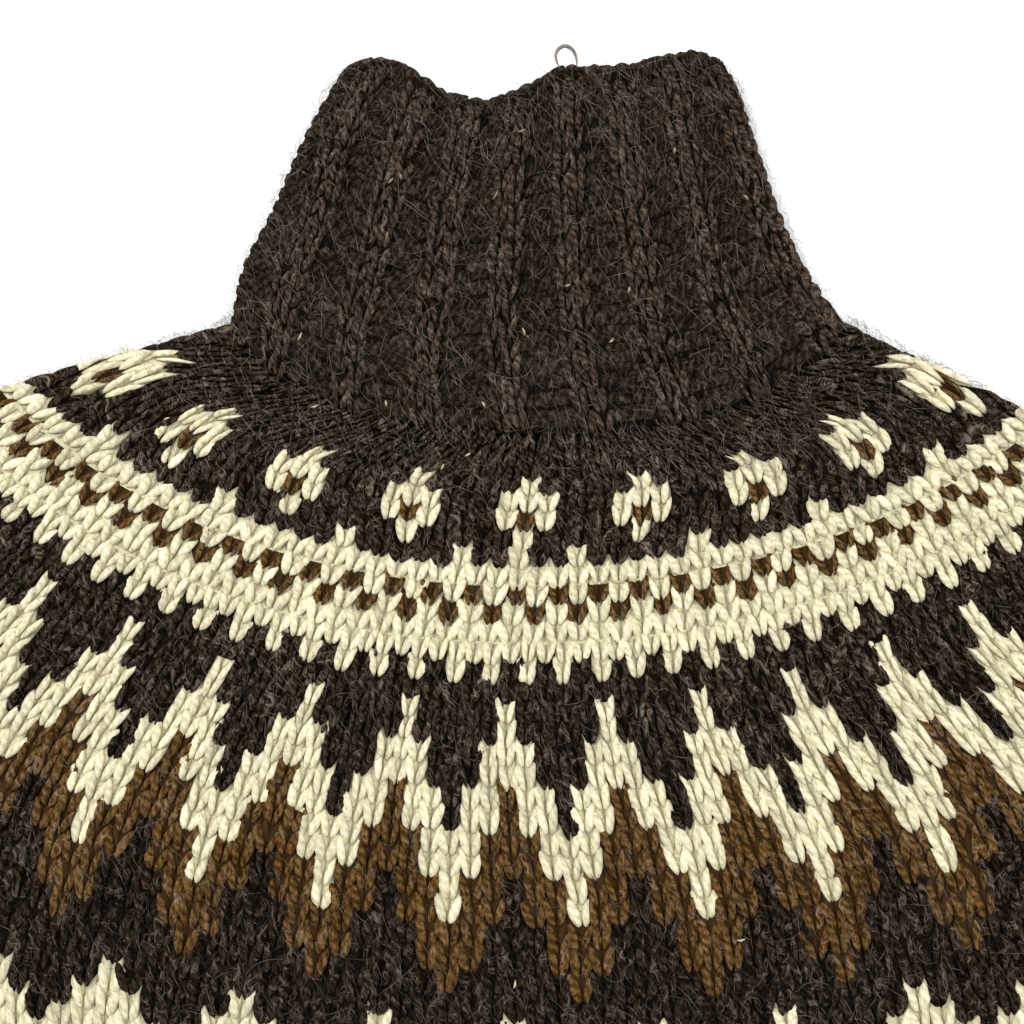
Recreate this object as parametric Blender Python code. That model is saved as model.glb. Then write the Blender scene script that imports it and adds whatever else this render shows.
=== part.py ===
"""A round-yoke wool sweater with a tall ribbed turtleneck, laid flat on its back.

The garment is knitted in the round, so every piece is a tube pressed flat: a front layer
that lies on a back layer, joined at a fold on each side. Each tube is lofted through
sections. A section is a flattened loop of the wall's outer points, with a loop of inner
points one wall inside it. Across a piece, "along" runs from -1 at the left fold to 1 at
the right one. +X is to the right, +Y towards the neck and +Z up, off the surface.
"""
from functools import partial

import bmesh
import bpy
import numpy as np

MM = 0.001

# The knitted cloth, in millimetres
WALL = 4.0           # yoke, body and sleeves, in one thickness
RIB_WALL = 4.6       # the ribbed pieces, at the foot of their ribs
RIB_RISE = 2.0       # how far a rib stands out of its wall
RIB_ROUNDNESS = 0.8  # below 1 a rib is broader than the furrow beside it
INNER_GAP = 1.0      # between the front and the back layer
SEAM = 0.3           # between two pieces where they are knitted together
SWELL = 1.2          # the front layer's rise between its folds
FOLD_STEPS = 4       # faces round each side fold

# Heights are measured from the level where the collar meets the shoulders.
# Each yoke section: its row of stitches, the height of the row at the centre front, the
# place of the point halfway to the fold, the place of the fold, how far the row lies to
# the right, and how far its right end hangs lower than its middle.
YOKE_SECTIONS = np.array(
    [
        # row, centre_y, half_x, half_y, fold_x, fold_y, right, hang
        (0.0, -42.5, 65.5, -36.0, 121.0, 0.0, 9.0, 0.0),
        (4.6, -71.4, 99.8, -57.3, 179.4, -20.0, 4.0, 4.0),
        (16.0, -156.0, 136.9, -131.6, 252.7, -58.5, -3.5, 9.0),
        (25.0, -235.2, 182.5, -204.0, 308.0, -113.0, -0.8, 12.0),
        (30.0, -282.8, 197.0, -253.9, 335.0, -154.0, -0.8, 10.0),
        (38.0, -346.0, 196.0, -322.0, 378.0, -233.0, 0.0, 0.0),
    ]
)
YOKE_RINGS = (0.0, 2.0, 4.6, 7.5, 11.0, 14.5, 18.0, 21.5, 25.0, 28.5, 31.5, 35.0, 38.0)
YOKE_END_ROW = YOKE_RINGS[-1]
YOKE_ROW_HEIGHT = 7.0      # of the first and the last rows, where the yoke is trimmed
UNDERARM = 0.6             # along the yoke's end row, where the body ends and a sleeve begins

# The collar narrows from its foot to its top edge, which dips left of the centre.
COLLAR_SECTIONS = np.array(
    [
        # up, half_width, right
        (0.00, 121.0, 9.0),
        (0.25, 109.6, 3.2),
        (0.45, 99.8, 4.0),
        (0.70, 89.8, 4.8),
        (0.86, 83.0, 6.4),
        (1.00, 75.5, 7.8),
    ]
)
COLLAR_RINGS = (0.0, 0.12, 0.28, 0.45, 0.62, 0.78, 0.92, 1.0)
COLLAR_HEIGHT = 130.0      # at the centre front
COLLAR_TOP = np.array(
    [
        # along, height of the top edge
        (-1.00, 100.0),
        (-0.82, 102.5),
        (-0.66, 98.5),
        (-0.52, 91.0),
        (-0.31, 85.5),
        (-0.05, 91.0),
        (0.12, 97.5),
        (0.45, 99.0),
        (0.80, 104.5),
        (1.00, 101.5),
    ]
)
COLLAR_SIDE_BUNCH = 0.11   # how much closer the foot's stitches lie towards its folds
COLLAR_RIBS = 8            # on the front
COLLAR_RIB_PHASE = 0.2     # of a rib, by which the ribs are off the centre

# The body below the underarms. Its upper end repeats the curve of the yoke's end row, and
# "curve" says how much of it a section still has.
BODY_SECTIONS = np.array(
    [
        # centre_y, half_width, curve
        (-346.0, 234.0, 1.00),
        (-368.0, 240.0, 0.80),
        (-405.0, 246.0, 0.44),
        (-450.0, 250.0, 0.19),
        (-510.0, 252.0, 0.07),
        (-575.0, 251.0, 0.05),
        (-625.0, 246.0, 0.05),
    ]
)
HEM_SECTIONS = np.array(
    [
        # centre_y, half_width, curve
        (-625.0, 245.0, 0.05),
        (-634.0, 239.0, 0.05),
        (-668.0, 235.0, 0.05),
        (-690.0, 236.0, 0.05),
    ]
)
HEM_RIBS = 22              # on the front

# A sleeve runs down and out from the yoke, and bows a little.
SLEEVE_SLOPE = np.radians(62.0)
SLEEVE_SECTIONS = np.array(
    [
        # down, half_width, bow
        (0.0, 84.0, 0.0),
        (28.0, 84.0, 1.0),
        (65.0, 82.5, 3.0),
        (125.0, 79.0, 6.0),
        (195.0, 74.5, 8.0),
        (270.0, 69.0, 7.0),
        (345.0, 62.5, 4.0),
        (405.0, 56.5, 1.0),
        (430.0, 52.5, 0.0),
    ]
)
SLEEVE_STRAIGHT = 70.0     # how far down the yoke's curve has died out of a sleeve
CUFF_SECTIONS = np.array(
    [
        # down, half_width, bow
        (430.0, 51.0, 0.0),
        (438.0, 46.0, -0.5),
        (472.0, 44.0, -2.0),
        (495.0, 45.0, -3.0),
    ]
)
CUFF_RIBS = 5              # on the front

# Soft ridges of the front layer: two ends, half the width and the height of each
CREASES = np.array(
    [
        # from_x, from_y, to_x, to_y, half_width, height
        (-222.0, -300.0, -150.0, -215.0, 14.0, 2.4),
        (-236.0, -322.0, -150.0, -352.0, 12.0, 2.2),
        (226.0, -302.0, 172.0, -236.0, 13.0, 2.0),
        (238.0, -326.0, 178.0, -372.0, 15.0, 2.4),
        (-120.0, -470.0, -30.0, -545.0, 22.0, 2.0),
        (60.0, -440.0, 170.0, -500.0, 20.0, 1.8),
        (-95.0, -60.0, -190.0, -110.0, 24.0, 1.6),
        (100.0, -62.0, 205.0, -130.0, 26.0, 1.8),
        (-352.0, -380.0, -300.0, -352.0, 14.0, 2.2),
        (-452.0, -560.0, -400.0, -540.0, 12.0, 2.0),
        (350.0, -400.0, 300.0, -366.0, 13.0, 2.0),
        (425.0, -520.0, 375.0, -486.0, 14.0, 2.2),
    ]
)
CREASE_LIMIT = 2.9         # where two ridges cross

DARK_WOOL = (0.035, 0.026, 0.021, 1.0)
CREAM_WOOL = (0.78, 0.71, 0.52, 1.0)    # the yoke's light wool, the first seen from afar
WOOL_ROUGHNESS = 0.95
SHARP_EDGE = np.radians(50.0)
LENGTH_STEPS = 32          # in which the length of a section's middle line is measured


def smooth_table(table, where):
    """Each column of a table at a place in its first column, by a smooth curve."""
    places, values = table[:, 0], table[:, 1:]
    steps = np.diff(places)[:, None]
    slopes = np.diff(values, axis=0) / steps
    tangents = np.vstack([slopes[:1], (slopes[:-1] + slopes[1:]) / 2, slopes[-1:]])
    i = int(np.clip(np.searchsorted(places, where) - 1, 0, len(places) - 2))
    h = steps[i, 0]
    t = (where - places[i]) / h
    return (
        (2 * t**3 - 3 * t**2 + 1) * values[i]
        + (t**3 - 2 * t**2 + t) * h * tangents[i]
        + (3 * t**2 - 2 * t**3) * values[i + 1]
        + (t**3 - t**2) * h * tangents[i + 1]
    )


def column(table, places):
    """The second column of a two-column table at many places, by a smooth curve."""
    return np.array([smooth_table(table, place)[0] for place in places])


def yoke_row(row, along):
    """Points of one row of the yoke, as X and Y. X is a cubic of along, and Y a quartic."""
    centre_y, half_x, half_y, fold_x, fold_y, right, hang = smooth_table(YOKE_SECTIONS, row)
    x_cubic = (fold_x - 2 * half_x) * 4 / 3
    y_square = (16 * (half_y - centre_y) - (fold_y - centre_y)) / 3
    y_fourth = fold_y - centre_y - y_square
    x = (fold_x - x_cubic) * along + x_cubic * along**3 + right
    y = centre_y + y_square * along**2 + y_fourth * along**4 - hang * along
    return x, y


def collar_row(up, along):
    """Points of the collar between its foot, at 0, and its top edge, at 1."""
    half_width, right = smooth_table(COLLAR_SECTIONS, up)
    bunch = COLLAR_SIDE_BUNCH * (1 - up)
    x = half_width * ((1 + bunch) * along - bunch * along**3) + right
    foot_y = yoke_row(0.0, along)[1]
    top_y = column(COLLAR_TOP, np.clip(along, -1, 1))
    return x, foot_y * (1 - up) + top_y * up


def body_row(centre_y, half_width, curve, along):
    """Points of one level of the body, with its share of the yoke's last curve."""
    x, y = yoke_row(YOKE_END_ROW, UNDERARM * along)
    edge_x = yoke_row(YOKE_END_ROW, UNDERARM)[0]
    middle_y = yoke_row(YOKE_END_ROW, 0.0)[1]
    return x * half_width / edge_x, centre_y + (y - middle_y) * curve


def sleeve_row(side, down, half_width, bow, along):
    """Points across the sleeve on one side, -1 or 1. Along is -1 at the underarm, where
    the sleeve stays a seam clear of the body."""
    along = along * (1 - SEAM / half_width)
    middle_along = (UNDERARM + 1) / 2
    top = np.array(yoke_row(YOKE_END_ROW, middle_along + (1 - UNDERARM) / 2 * along))
    inner, outer = (np.array(yoke_row(YOKE_END_ROW, end)) for end in (UNDERARM, 1.0))
    run = np.array([np.cos(SLEEVE_SLOPE), -np.sin(SLEEVE_SLOPE)])
    across = np.array([np.sin(SLEEVE_SLOPE), np.cos(SLEEVE_SLOPE)])
    middle = (inner + outer) / 2 + run * down + across * bow
    straight = middle[:, None] + across[:, None] * half_width * along
    share = np.clip(down / SLEEVE_STRAIGHT, 0, 1)
    share = share * share * (3 - 2 * share)
    x, y = (top + run[:, None] * down) * (1 - share) + straight * share
    return side * x, y


def crease_height(x, y):
    """How high the soft ridges lift the front layer at each point."""
    height = np.zeros_like(x)
    for from_x, from_y, to_x, to_y, half_width, rise in CREASES:
        run = np.array([to_x - from_x, to_y - from_y])
        share = ((x - from_x) * run[0] + (y - from_y) * run[1]) / (run @ run)
        nearest = np.clip(share, 0, 1)
        off = np.hypot(x - from_x - nearest * run[0], y - from_y - nearest * run[1])
        height += rise * np.exp(-((off / half_width) ** 2))
    return np.minimum(height, CREASE_LIMIT)


def loop_places(front_steps, back_steps):
    """Where each point of a section's loop stands: its place along the section, and the
    angle at which it looks out, 90 degrees on the front and -90 on the back."""
    front = np.linspace(-1, 1, front_steps + 1)
    back = np.linspace(1, -1, back_steps + 1)
    fold = np.linspace(90, -90, FOLD_STEPS + 1)[1:-1]
    along = np.concatenate([front, np.ones(len(fold)), back, -np.ones(len(fold))])
    angle = np.concatenate([np.full(len(front), 90), fold, np.full(len(back), -90), fold - 180])
    return along, np.radians(angle)


def section(row, places, wall, rise):
    """The outer and inner loops of a tube's section, whose middle line row(along) gives.
    Rise is how far the outer front points stand out of the wall, as ribs do."""
    along, angle = places
    line_x, line_y = row(np.linspace(0, 1, LENGTH_STEPS + 1))
    half_length = np.hypot(np.diff(line_x), np.diff(line_y)).sum()
    middle_z = wall + INNER_GAP / 2
    front = np.clip(np.sin(angle), 0, 1)
    loops = []
    for radius, stand_out in ((middle_z, rise), (INNER_GAP / 2, 0.0)):
        place = ((half_length - middle_z) * along + radius * np.cos(angle)) / half_length
        x, y = row(place)
        swell = SWELL * (1 - along**2) + crease_height(x, y)
        z = middle_z + radius * np.sin(angle) + swell * front**2 + stand_out * front
        loops.append(np.column_stack([x, y, z]) * MM)
    return loops


def ribs(places, count, phase=0.0):
    """Each point's rise out of a ribbed wall: none in the furrows, most on the ribs."""
    turns = (places[0] + 1) / 2 * count - phase
    return RIB_RISE * (0.5 - 0.5 * np.cos(2 * np.pi * turns)) ** RIB_ROUNDNESS


def wool(name, colour):
    material = bpy.data.materials.new(name)
    material.use_nodes = True
    shader = material.node_tree.nodes["Principled BSDF"]
    shader.inputs["Base Color"].default_value = colour
    shader.inputs["Roughness"].default_value = WOOL_ROUGHNESS
    shader.inputs["Metallic"].default_value = 0.0
    return material


def knit_tube(name, rows, places, wall, colour, rise=0.0):
    """A closed wall, lofted down the outer loops of its rows and back up the inner ones.
    Each loop is drawn out of the one before it."""
    sections = [section(row, places, wall, rise) for row in rows]
    stations = [outer for outer, inner in sections] + [inner for outer, inner in sections[::-1]]
    bm = bmesh.new()
    first = [bm.verts.new(point) for point in stations[0]]
    after = first[1:] + first[:1]
    loop = [bm.edges.new(pair) for pair in zip(first, after)]
    verts = first
    for station in stations[1:]:
        drawn = set(bmesh.ops.extrude_edge_only(bm, edges=loop)["geom"])
        rails = [next(e for e in vert.link_edges if e.other_vert(vert) in drawn) for vert in verts]
        verts = [rail.other_vert(vert) for rail, vert in zip(rails, verts)]
        for vert, point in zip(verts, station):
            vert.co = point
        loop = [bm.edges.get(pair) for pair in zip(verts, verts[1:] + verts[:1])]
    for pair, last_pair in zip(zip(first, after), zip(verts, verts[1:] + verts[:1])):
        bm.faces.new(last_pair + pair[::-1])
    bmesh.ops.recalc_face_normals(bm, faces=bm.faces)
    mesh = bpy.data.meshes.new(name)
    bm.to_mesh(mesh)
    bm.free()
    mesh.shade_smooth()
    mesh.set_sharp_from_angle(angle=SHARP_EDGE)
    mesh.materials.append(wool(f"{name}_wool", colour))
    piece = bpy.data.objects.new(name, mesh)
    bpy.context.scene.collection.objects.link(piece)
    return piece


def trimmed(table, start, end):
    """A table of sections whose first column is drawn in at its start and its end."""
    table = table.copy()
    way = np.sign(table[-1, 0] - table[0, 0])
    table[0, 0] += way * start
    table[-1, 0] -= way * end
    return table


def collar():
    """The turtleneck, in broad ribs that spread from the top edge to its foot."""
    places = loop_places(front_steps=COLLAR_RIBS * 6, back_steps=26)
    rings = trimmed(np.array(COLLAR_RINGS)[:, None], SEAM / 2 / COLLAR_HEIGHT, 0)
    rows = [partial(collar_row, up) for up in rings[:, 0]]
    rise = ribs(places, COLLAR_RIBS, COLLAR_RIB_PHASE)
    return knit_tube("collar", rows, places, RIB_WALL, DARK_WOOL, rise)


def yoke():
    """The round yoke, from the collar's foot to the underarms."""
    places = loop_places(front_steps=36, back_steps=32)
    seam_rows = SEAM / 2 / YOKE_ROW_HEIGHT
    rings = trimmed(np.array(YOKE_RINGS)[:, None], seam_rows, seam_rows)
    rows = [partial(yoke_row, ring) for ring in rings[:, 0]]
    return knit_tube("yoke", rows, places, WALL, CREAM_WOOL)


def body():
    """The trunk, from the yoke's end row to the hem's ribs."""
    places = loop_places(front_steps=24, back_steps=20)
    rows = [partial(body_row, *level) for level in trimmed(BODY_SECTIONS, SEAM / 2, SEAM / 2)]
    return knit_tube("body", rows, places, WALL, DARK_WOOL)


def hem_rib():
    """The welt at the bottom edge, in ribs that draw it in."""
    places = loop_places(front_steps=HEM_RIBS * 4, back_steps=24)
    rows = [partial(body_row, *level) for level in trimmed(HEM_SECTIONS, SEAM / 2, 0)]
    return knit_tube("hem_rib", rows, places, RIB_WALL, DARK_WOOL, ribs(places, HEM_RIBS))


def sleeve(name, side):
    """A tapered sleeve, from the outer part of the yoke's end row to its cuff."""
    places = loop_places(front_steps=14, back_steps=12)
    levels = trimmed(SLEEVE_SECTIONS, SEAM / 2, SEAM / 2)
    rows = [partial(sleeve_row, side, *level) for level in levels]
    return knit_tube(name, rows, places, WALL, DARK_WOOL)


def cuff(name, side):
    """The ribbed end of a sleeve."""
    places = loop_places(front_steps=CUFF_RIBS * 5, back_steps=12)
    rows = [partial(sleeve_row, side, *level) for level in trimmed(CUFF_SECTIONS, SEAM / 2, 0)]
    return knit_tube(name, rows, places, RIB_WALL, DARK_WOOL, ribs(places, CUFF_RIBS))


def centre_on_origin(pieces):
    """Moves the pieces so that the middle of the garment's box lies over the origin."""
    corners = np.array([vert.co for piece in pieces for vert in piece.data.vertices])
    low, high = corners.min(axis=0), corners.max(axis=0)
    shift = (-(low[0] + high[0]) / 2, -(low[1] + high[1]) / 2, -low[2])
    for piece in pieces:
        for vert in piece.data.vertices:
            vert.co = [place + by for place, by in zip(vert.co, shift)]


def main():
    for item in list(bpy.data.objects):
        bpy.data.objects.remove(item)
    pieces = [collar(), yoke(), body(), hem_rib()]
    for name, side in (("left", -1), ("right", 1)):
        pieces.append(sleeve(f"sleeve_{name}", side))
        pieces.append(cuff(f"cuff_{name}", side))
    centre_on_origin(pieces)


main()
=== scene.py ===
"""A round-yoke wool sweater with a ribbed turtleneck, laid flat on its back.

Each knitted tube of the garment is a closed shell of cloth, with a face for either half of
every stitch. On the front of it lie the stitches themselves: two plump strands of wool for
each one, in cream, brown or dark wool as the chart says, and fine hairs over them.
Heights and widths are in millimetres from the level where the collar meets the shoulders,
as in the solid model, and "placed" brings them into the shared frame in metres.
"""

import bmesh
import bpy
import numpy as np
from mathutils import Matrix, Vector


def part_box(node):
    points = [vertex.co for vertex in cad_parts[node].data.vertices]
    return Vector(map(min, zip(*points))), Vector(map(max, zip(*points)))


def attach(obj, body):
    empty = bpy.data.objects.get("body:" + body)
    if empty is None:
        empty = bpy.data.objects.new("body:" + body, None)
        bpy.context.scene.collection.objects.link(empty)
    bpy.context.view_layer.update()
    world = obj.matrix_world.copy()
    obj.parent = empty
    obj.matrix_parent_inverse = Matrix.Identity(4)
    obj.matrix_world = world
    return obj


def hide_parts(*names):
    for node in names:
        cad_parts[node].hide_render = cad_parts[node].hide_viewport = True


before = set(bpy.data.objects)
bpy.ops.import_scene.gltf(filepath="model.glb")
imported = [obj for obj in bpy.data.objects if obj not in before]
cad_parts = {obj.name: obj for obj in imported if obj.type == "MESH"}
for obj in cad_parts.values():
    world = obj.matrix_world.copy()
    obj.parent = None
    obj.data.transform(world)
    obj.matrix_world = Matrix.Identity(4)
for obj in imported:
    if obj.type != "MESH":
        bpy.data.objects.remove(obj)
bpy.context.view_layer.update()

MM = 0.001

# The knitted cloth
WALL = 4.0
RIB_WALL = 4.6
RIB_RISE = 2.0  # how far a rib's ridge stands over its furrows
RIB_ROUNDNESS = 0.8
INNER_GAP = 1.0  # between the two layers of a tube
SWELL = 1.2  # the front lies this much higher along its middle

YOKE_SECTIONS = np.array([
    # row, centre_y, half_x, half_y, fold_x, fold_y, right, hang
    (0, -42.5, 65.5, -36, 121, 0, 9, 0),
    (4.6, -71.4, 99.8, -57.3, 179.4, -20, 4, 4),
    (16, -156, 136.9, -131.6, 252.7, -58.5, -3.5, 9),
    (25, -235.2, 182.5, -204, 308, -113, -0.8, 12),
    (30, -282.8, 197, -253.9, 335, -154, -0.8, 10),
    (38, -346, 196, -322, 378, -233, 0, 0),
])
UNDERARM = 0.6  # along the yoke's end row, where the body ends and a sleeve begins
COLLAR_SECTIONS = np.array([
    # up, half_width, right
    (0, 121, 9),
    (0.25, 109.6, 3.2),
    (0.45, 99.8, 4),
    (0.70, 89.8, 4.8),
    (0.86, 83, 6.4),
    (1, 75.5, 7.8),
])
COLLAR_TOP = np.array([
    # along, height of the top edge
    (-1, 100),
    (-0.82, 102.5),
    (-0.66, 98.5),
    (-0.52, 91),
    (-0.31, 85.5),
    (-0.05, 91),
    (0.12, 97.5),
    (0.45, 99),
    (0.80, 104.5),
    (1, 101.5),
])
COLLAR_SIDE_BUNCH = 0.11  # how much closer the ribs stand at the collar's sides, at its foot
COLLAR_RIBS = 8
COLLAR_RIB_PHASE = 0.2
BODY_SECTIONS = np.array([
    # depth below the shoulders at the centre, half_width, curve
    (346, 234, 1),
    (368, 240, 0.80),
    (405, 246, 0.44),
    (450, 250, 0.19),
    (510, 252, 0.07),
    (575, 251, 0.05),
    (625, 246, 0.05),
])
HEM_SECTIONS = np.array([
    # depth, half_width, curve
    (625, 245, 0.05),
    (634, 239, 0.05),
    (668, 235, 0.05),
    (690, 236, 0.05),
])
HEM_RIBS = 22
SLEEVE_SLOPE = np.radians(62.0)
SLEEVE_SECTIONS = np.array([
    # down, half_width, bow
    (0, 84, 0),
    (28, 84, 1),
    (65, 82.5, 3),
    (125, 79, 6),
    (195, 74.5, 8),
    (270, 69, 7),
    (345, 62.5, 4),
    (405, 56.5, 1),
    (430, 52.5, 0),
])
SLEEVE_STRAIGHT = 70.0
CUFF_SECTIONS = np.array([
    # down, half_width, bow
    (430, 51, 0),
    (438, 46, -0.5),
    (472, 44, -2),
    (495, 45, -3),
])
CUFF_RIBS = 5
CREASES = np.array([
    # from_x, from_y, to_x, to_y, half_width, height
    (-222, -300, -150, -215, 14, 2.4),
    (-236, -322, -150, -352, 12, 2.2),
    (226, -302, 172, -236, 13, 2),
    (238, -326, 178, -372, 15, 2.4),
    (-120, -470, -30, -545, 22, 2),
    (60, -440, 170, -500, 20, 1.8),
    (-95, -60, -190, -110, 24, 1.6),
    (100, -62, 205, -130, 26, 1.8),
    (-352, -380, -300, -352, 14, 2.2),
    (-452, -560, -400, -540, 12, 2),
    (350, -400, 300, -366, 13, 2),
    (425, -520, 375, -486, 14, 2.2),
])
CREASE_LIMIT = 2.9

# Rounds of stitches, from the upper end of each tube to its lower one
COLLAR_ROUNDS = 18
YOKE_ROUNDS = 38
BODY_ROUNDS = 31
HEM_ROUNDS = 10
SLEEVE_ROUNDS = 48
CUFF_ROUNDS = 10

# The yoke grows at a few rounds: the last round of each zone, and its stitches on the front
YOKE_ZONES = ((9, 54), (12, 60), (15, 75), (38, 90))
REPEAT = 6  # stitches from one motif to the next
ZIGZAG_TOP = 16  # the first round of the zigzags

# How far the yoke's stitches lie from even rows and columns. Each line has a power of the row
# and each number in it one of the turn. Both tables come from a least-squares fit, by a
# separate program, to places of pattern stitches that were read by eye in the photograph.
DRIFT_OF_ROW = np.array([
    (0.01, -0.38, 0.41, 0.56, -1.04),
    (0.04, 0.23, 0.22, -0.35, 0.92),
    (-0.1, 0.26, -0.92, -0.34, 0.52),
])
DRIFT_OF_TURN = np.array([
    (0.001, 0.027, 0.006, -0.006, -0.002),
    (-0.001, 0.019, -0.006, -0.046, 0.005),
    (0.001, -0.056, -0.0, 0.098, -0.003),
])
DRIFT_MIDDLE = 15.0  # the row from which the powers are counted
DRIFT_STEP = 10.0  # and how many rows they count as one
DRIFT_RANGE = (4.0, 27.0)
DRIFT_UP = -1.7  # no stitch lies more rows than this above its own row
# The columns of the first zone stand more upright than lines to the collar's middle would
UPRIGHT = 0.05  # a turn's share by which each round leans back
UPRIGHT_MIDDLE = 5.5  # the round that stays in its place
UPRIGHT_REACH = 2.0  # and the rounds on either side of it over which the others lean
RIB_REPEAT = 4  # two knit stitches and two purl ones

LENGTH_STEPS = 65  # places at which a row's length is measured
ROW_STEP = 0.5  # steps over which the way of rows and turns is measured
TURN_STEP = 0.01
NEAR_FOLD = 0.96  # and the last turn where it is

# The shells of cloth behind the stitches
CHEVRON = 0.6  # rounds by which a stitch's sides reach up beside its point
ZONE_STRIP = 0.12  # rounds in which one zone's columns go over into the next one's
SHELL_SINK = 0.8  # the shell's front lies this deep, for the stitches to lie on it
INNER_COLUMNS = 48
INNER_ROWS = 5
RIM_BULGE = 0.25  # rounds by which a rounded edge goes past the last one
PAST_FOLD = 0.6  # stitches go on round the folds this far
STRAND_MIDDLE = (0.25, 0.05)  # a place in a stitch that is painted as the middle of a strand

# The strands of a stitch, in stitches across and rounds along. Shares of a strand's length
# count from the stitch's point to where it goes under.
LEG_FOOT = 0.10
LEG_SPREAD = 0.44
LEG_REACH = 1.5
LEG_DROP = 0.08  # a stitch's point hangs below its round
LEG_SLANT = 0.15
LEG_TAPER = 0.2  # a strand is this much narrower where it goes under
LEG_HALF_WIDTH = (0.27, 0.24, 0.24)  # of a dark, a brown and a cream strand
LEG_THICKNESS = 1.5
LEG_BOW = ((0, 0.15, 0.42, 0.75, 1.0), (-1.0, -0.35, -0.1, -0.7, -2.5))
LEG_SHADE = ((0, 0.15, 0.7, 1.0), (0.9, 1.0, 0.96, 0.7))
# How unevenly strands lie: the spread of random amounts, times that of the kind of wool
LEG_LOOSE = {
    "width": 0.10, "place": 0.03, "tip": 0.07, "reach": 0.06, "row": 0.05, "lift": 0.15, "tone": 0.07,
}
LOOSE_BY = (1.7, 1.2, 1.2)  # dark, brown, cream
SMALL_STITCH = 0.72  # a brown stitch among cream ones, which swell over it
WANDER = 0.12
WAVES = ((0.9, 0.5, 1.0), (0.37, -0.83, 2.1), (0.17, 0.21, 3.7))
STEP_AT_COLLAR = 1.4  # the yoke's first stitches rise this far, to lie against the collar
STEP_ROUNDS = 1.6  # and a third of that this many rounds further down
FIRST_FOOT, FIRST_RISE = -1.0, 0.6  # the yoke's first strands dip less, as nothing covers them
SEAM_ROOM = 1.0  # a tube's first strands reach this far up past its seam
COLLAR_ROOM = -0.1  # but the collar's stay below its top edge
FOLD_FADE = 0.15  # the share of a stitch's height that is left where it lies under a fold
PURL_REACH = 0.66
PURL_ARCH = 0.34
PURL_UP = 0.62  # a purl stitch's upper arc lies this far above the end of its round
PURL_STEP = 0.30  # and the arc under that one this much further up
PURL_HALF_WIDTH = 0.42
PURL_THICKNESS = 1.3
PURL_SINK = 0.8  # how deep the arcs lie in the furrow
PURL_END_SINK = 0.7  # and how much deeper their ends do
PURL_UNDER = 0.2  # and the under ones
PURL_END_SHADE = 0.3  # how much darker their ends are
EDGE_THICKNESS = 1.5
EDGE_REACH = 1.25  # stitches from one end of a bound strand to the other
EDGE_HALF_WIDTH = 0.22
EDGE_PAST = 0.12  # rounds from the tube's end to the chain that binds it
EDGE_SPLAY = 0.85  # from the middle of the wall to either strand
EDGE_SLANT = 0.7  # how much further out one end of a strand lies than the other
RIDGE_LIGHT = 1.25  # painted light: the ridges of a rib are made paler
FURROW_SHADE = 0.6  # and painted shade darkens its furrows
FELTED_TONE = 1.4  # the dark wool near the collar is paler than further down
FELTED_ROUNDS = (14, 22)
FLOOR_GAP = 0.3

# Loose hairs, in millimetres
HAIR_RADIUS = (0.045, 0.085)
HAIR_LENGTHS = (9.0, 15.0)
EDGE_HAIR_LENGTHS = (3.0, 6.5)
EDGE_HAIRS = 8  # the hairs over the front for each one that stands off a fold
HAIR_GAP = 0.4  # how far the ends of a hair stand off
HAIR_RISE = 1.6  # and how much further at most its middle does
EDGE_HAIR_RISE = (0.2, 4.0)  # and the far end of one at a fold
HAIR_SPREAD = 20  # degrees by which the ways of hairs differ from the nap's
CURL = (1.0, 2.2)  # how much a hair bends over its length, and a stray one besides
LEAST_CURL = 0.05
NEAR_EDGE = 0.6  # how near a fold its hairs start, in halves of the tube's thickness
OVER_CREAM = 0.35  # the share of the hairs that also shows over cream wool
NEAR_TOP = 0.18  # the share that lies in the first rounds, where the wool is felted
TOP_ROUNDS = 4
STRAY = 0.35  # the share that lies any way

# Wools of the shells: in the gaps between stitches, the wool behind them darkened with painted shade, and
# on the underside the wool's own colour
SHADED_GAP_YARN = np.array([(0.006, 0.004, 0.0025), (0.045, 0.022, 0.006), (0.62, 0.58, 0.38)])
UNDER_YARN = np.array([(0.022, 0.016, 0.011), (0.08, 0.045, 0.02), (0.70, 0.64, 0.46)])

YARNS = ("dark", "brown", "cream")
DARK, BROWN, CREAM = range(3)


# ---- The lines of the garment ----
def smooth_table(table, where):
    """The columns of a table at many places in its first column, by smooth curves."""
    places, values = table[:, 0], table[:, 1:]
    steps = np.diff(places)[:, None]
    slopes = np.diff(values, axis=0) / steps
    tangents = np.vstack([slopes[:1], (slopes[:-1] + slopes[1:]) / 2, slopes[-1:]])
    i = np.clip(np.searchsorted(places, where) - 1, 0, len(places) - 2)
    h = steps[i]
    t = (where - places[i])[..., None] / h
    blend = (
        (2 * t**3 - 3 * t**2 + 1) * values[i]
        + (t**3 - 2 * t**2 + t) * h * tangents[i]
        + (3 * t**2 - 2 * t**3) * values[i + 1]
        + (t**3 - t**2) * h * tangents[i + 1]
    )
    return np.moveaxis(blend, -1, 0)


def yoke_line(row, along):
    """X and Y of places along rows of the yoke: a cubic and a quartic of along, through the
    row's middle, its places half way to the folds, and the folds."""
    centre_y, half_x, half_y, fold_x, fold_y, right, hang = smooth_table(YOKE_SECTIONS, row)
    x_cubic = (fold_x - 2 * half_x) * 4 / 3
    y_square = (16 * (half_y - centre_y) - (fold_y - centre_y)) / 3
    y_fourth = fold_y - centre_y - y_square
    x = (fold_x - x_cubic) * along + x_cubic * along**3 + right
    y = centre_y + y_square * along**2 + y_fourth * along**4 - hang * along
    return x, y


def yoke_end(along):
    """The yoke's last row, which the body and the sleeves go on from."""
    return np.array(yoke_line(np.full(np.shape(along), float(YOKE_ROUNDS)), np.asarray(along)))


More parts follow.
